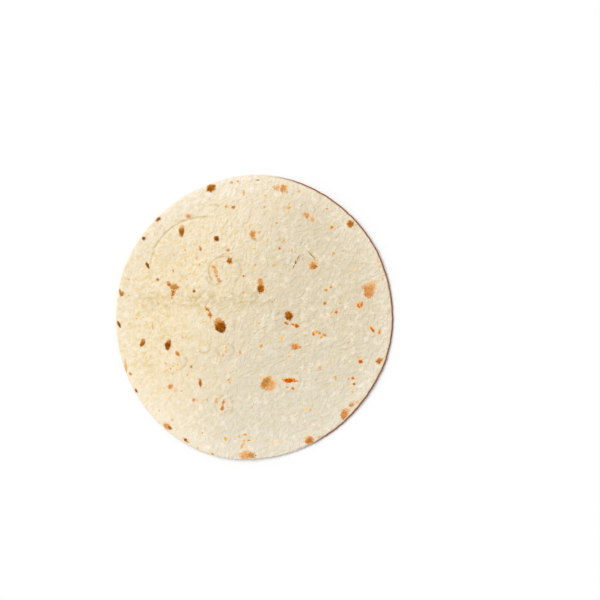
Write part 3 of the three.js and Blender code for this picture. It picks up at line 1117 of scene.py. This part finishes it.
class TORTILLA_OT_add_dough(bpy.types.Operator):
    """Model the tortilla's dough on the frame and give it its baked finish"""

    bl_idname = "tortilla.add_dough"
    bl_label = "Add dough"

    def execute(self, context):
        settings = context.scene.tortilla_dough
        rng = random.Random(settings.seed)
        dough = add_cage()
        mesh = dough.data
        lay_out_map(dough)
        fit_cage_to_frame(dough)
        refine(dough)
        if len(mesh.polygons) < CAGE_SIDES:
            raise RuntimeError("the dough's cage wasn't made")
        pale, bright, lower_pale, lower_bright = (
            small_flecks(rng, settings.fleck_count // 2) for _ in range(4)
        )
        lower_scorches, lower_toasts = underside_marks(rng)
        write_marks(mesh, "toast", [*TOASTS, *pale], [*lower_toasts, *lower_pale])
        write_marks(mesh, "scorch", SCORCHES, lower_scorches)
        write_marks(mesh, "rust", [*RUSTS, *bright], lower_bright)
        write_creases(mesh)
        raise_relief(mesh, settings, SCORCHES, lower_scorches)
        mesh.materials.append(dough_material(settings))
        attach(dough, "root")
        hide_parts(NODE)
        return {"FINISHED"}


# ---- stage ----


def add_floor(settings):
    bpy.ops.object.select_all(action="DESELECT")
    bpy.ops.mesh.primitive_plane_add(size=settings.floor_size)
    floor = bpy.context.object
    floor.name = "floor"
    material = bpy.data.materials.new("plain_floor")
    material.use_nodes = True
    shader = material.node_tree.nodes["Principled BSDF"]
    shader.inputs["Base Color"].default_value = (*settings.floor_tint, 1)
    shader.inputs["Roughness"].default_value = 1
    shader.inputs["Specular IOR Level"].default_value = 0
    floor.data.materials.append(material)


def add_lights(settings):
    """A soft key light high on one side, and even white light from all round."""
    light = bpy.data.lights.new("key_light", "SUN")
    light.energy = settings.key_strength
    light.angle = settings.key_softness
    key = bpy.data.objects.new("key_light", light)
    bpy.context.scene.collection.objects.link(key)
    level = math.cos(settings.key_height)
    towards = Vector((
        level * math.cos(settings.key_bearing), level * math.sin(settings.key_bearing),
        math.sin(settings.key_height),
    ))
    key.rotation_euler = towards.to_track_quat("Z", "Y").to_euler()
    key.location = towards

    world = bpy.data.worlds.new("white_room")
    bpy.context.scene.world = world
    world.use_nodes = True
    tree = world.node_tree
    background = tree.nodes["Background"]
    background.inputs["Color"].default_value = (1, 1, 1, 1)
    seen = tree.nodes.new("ShaderNodeLightPath").outputs["Is Camera Ray"]
    strength = math_node(tree, "MULTIPLY_ADD", seen, 1 - settings.fill_strength, settings.fill_strength)
    plug(tree, background.inputs["Strength"], strength)


def add_camera(settings):
    """Looks straight down on the tortilla."""
    data = bpy.data.cameras.new("camera")
    data.lens = settings.lens
    camera = bpy.data.objects.new("camera", data)
    bpy.context.scene.collection.objects.link(camera)
    height = settings.view_width * data.lens / data.sensor_width
    camera.location = (settings.view_right, settings.view_up, HIGHEST.z / 2 + height)
    bpy.context.scene.camera = camera


class TORTILLA_OT_add_stage(bpy.types.Operator):
    """Add the plain floor, the lights and the camera"""

    bl_idname = "tortilla.add_stage"
    bl_label = "Add stage"

    def execute(self, context):
        settings = context.scene.tortilla_stage
        add_floor(settings)
        add_lights(settings)
        add_camera(settings)
        context.scene.view_settings.view_transform = "Standard"
        return {"FINISHED"}


class TORTILLA_PT_sidebar(bpy.types.Panel):
    """Lists the tortilla's pieces and their sizes"""

    bl_idname = "TORTILLA_PT_sidebar"
    bl_label = "Tortilla"
    bl_space_type = "VIEW_3D"
    bl_region_type = "UI"
    bl_category = "Tortilla"

    def draw(self, context):
        for operator, settings in (
            (TORTILLA_OT_add_dough, context.scene.tortilla_dough),
            (TORTILLA_OT_add_stage, context.scene.tortilla_stage),
        ):
            box = self.layout.box()
            box.operator(operator.bl_idname)
            for name in settings.__annotations__:
                box.prop(settings, name)


CLASSES = (
    TortillaDoughSettings,
    TortillaStageSettings,
    TORTILLA_OT_add_dough,
    TORTILLA_OT_add_stage,
    TORTILLA_PT_sidebar,
)


def register():
    for each in CLASSES:
        bpy.utils.register_class(each)
    bpy.types.Scene.tortilla_dough = bpy.props.PointerProperty(type=TortillaDoughSettings)
    bpy.types.Scene.tortilla_stage = bpy.props.PointerProperty(type=TortillaStageSettings)


def unregister():
    del bpy.types.Scene.tortilla_stage
    del bpy.types.Scene.tortilla_dough
    for each in reversed(CLASSES):
        bpy.utils.unregister_class(each)


def main():
    register()
    bpy.ops.tortilla.add_stage()
    bpy.ops.tortilla.add_dough()


if __name__ == "__main__":
    main()
